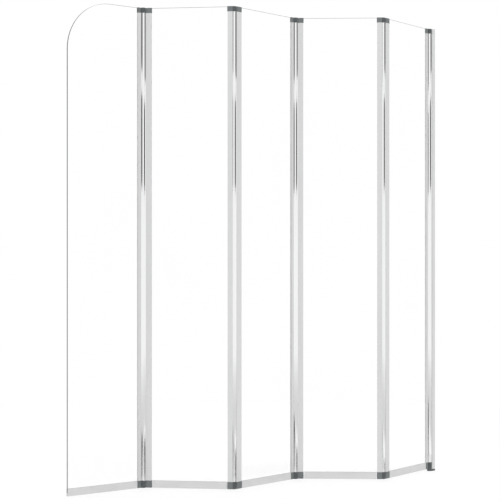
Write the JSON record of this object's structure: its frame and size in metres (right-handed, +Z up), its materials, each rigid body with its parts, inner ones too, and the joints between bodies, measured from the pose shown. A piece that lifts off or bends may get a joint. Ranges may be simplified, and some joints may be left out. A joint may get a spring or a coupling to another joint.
{
  "type": "bath screen",
  "caption": "Folding bath screen: clear glass panels with full-height aluminium hinges, dark end caps, bottom seals, a rounded free corner and a wall channel.",
  "frame": {"origin": "on the rim of the bath at the wall: the middle of the wall edge of the foot's underside", "axes": "+X into the wall, square to it, +Z up, -Y the side that the wall hinge swings to"},
  "size_m": [1.0456, 0.1519, 1.2],
  "materials": {
    "clear_glass": "clear toughened glass, ground and polished edges",
    "bright_aluminium": "bright polished anodised",
    "channel_aluminium": "bright satin anodised",
    "dark_cap": "dark grey moulded nylon, fine texture",
    "pale_cap": "pale grey moulded plastic",
    "seal_vinyl": "grey translucent extruded vinyl",
    "gasket_rubber": "soft grey glazing channel",
    "pin_steel": "stainless, turned",
    "bush_plastic": "natural acetal"
  },
  "bodies": {
    "wall_frame": {"wall_channel": "channel_aluminium", "wall_channel_foot": "dark_cap", "wall_channel_cap": "pale_cap", "wall_post": "bright_aluminium", "post_fixing_screws": "pin_steel", "hinge_1_bushes": "bush_plastic"},
    "panel_1": {"hinge_1_swing_leaf": "bright_aluminium", "hinge_1_swing_leaf_top_cap": "dark_cap", "hinge_1_swing_leaf_bottom_cap": "dark_cap", "hinge_1_pivot_pins": "pin_steel", "hinge_2_barrel_leaf": "bright_aluminium", "hinge_2_barrel_leaf_top_cap": "dark_cap", "hinge_2_barrel_leaf_bottom_cap": "dark_cap", "hinge_2_bushes": "bush_plastic", "glass_panel_1": "clear_glass", "glazing_gaskets_1": "gasket_rubber", "bottom_seal_1": "seal_vinyl"},
    "panel_2": {"hinge_2_swing_leaf": "bright_aluminium", "hinge_2_swing_leaf_top_cap": "dark_cap", "hinge_2_swing_leaf_bottom_cap": "dark_cap", "hinge_2_pivot_pins": "pin_steel", "hinge_3_barrel_leaf": "bright_aluminium", "hinge_3_barrel_leaf_top_cap": "dark_cap", "hinge_3_barrel_leaf_bottom_cap": "dark_cap", "hinge_3_bushes": "bush_plastic", "glass_panel_2": "clear_glass", "glazing_gaskets_2": "gasket_rubber", "bottom_seal_2": "seal_vinyl"},
    "panel_3": {"hinge_3_swing_leaf": "bright_aluminium", "hinge_3_swing_leaf_top_cap": "dark_cap", "hinge_3_swing_leaf_bottom_cap": "dark_cap", "hinge_3_pivot_pins": "pin_steel", "hinge_4_barrel_leaf": "bright_aluminium", "hinge_4_barrel_leaf_top_cap": "dark_cap", "hinge_4_barrel_leaf_bottom_cap": "dark_cap", "hinge_4_bushes": "bush_plastic", "glass_panel_3": "clear_glass", "glazing_gaskets_3": "gasket_rubber", "bottom_seal_3": "seal_vinyl"},
    "panel_4": {"hinge_4_swing_leaf": "bright_aluminium", "hinge_4_swing_leaf_top_cap": "dark_cap", "hinge_4_swing_leaf_bottom_cap": "dark_cap", "hinge_4_pivot_pins": "pin_steel", "hinge_5_barrel_leaf": "bright_aluminium", "hinge_5_barrel_leaf_top_cap": "dark_cap", "hinge_5_barrel_leaf_bottom_cap": "dark_cap", "hinge_5_bushes": "bush_plastic", "glass_panel_4": "clear_glass", "glazing_gaskets_4": "gasket_rubber", "bottom_seal_4": "seal_vinyl"},
    "panel_5": {"hinge_5_swing_leaf": "bright_aluminium", "hinge_5_swing_leaf_top_cap": "dark_cap", "hinge_5_swing_leaf_bottom_cap": "dark_cap", "hinge_5_pivot_pins": "pin_steel", "glass_panel_5": "clear_glass", "glazing_gaskets_5": "gasket_rubber", "bottom_seal_5": "seal_vinyl"}
  },
  "joints": [
    {"name": "wall_hinge", "type": "hinge", "parent": "wall_frame", "child": "panel_1", "pos_m": [-0.016, -0.0036, 0.6], "axis": [0, 0, 1], "range_deg": [-27, 63]},
    {"name": "panel_hinge_2", "type": "hinge", "parent": "panel_1", "child": "panel_2", "pos_m": [-0.22144, -0.1002, 0.6], "axis": [0, 0, -1], "range_deg": [-55, 125]},
    {"name": "panel_hinge_3", "type": "hinge", "parent": "panel_2", "child": "panel_3", "pos_m": [-0.42516, -0.00003, 0.6], "axis": [0, 0, 1], "range_deg": [-50, 130]},
    {"name": "panel_hinge_4", "type": "hinge", "parent": "panel_3", "child": "panel_4", "pos_m": [-0.63823, -0.07835, 0.6], "axis": [0, 0, -1], "range_deg": [-55, 125]},
    {"name": "panel_hinge_5", "type": "hinge", "parent": "panel_4", "child": "panel_5", "pos_m": [-0.83245, 0.03919, 0.6], "axis": [0, 0, 1], "range_deg": [-45, 135]}
  ]
}
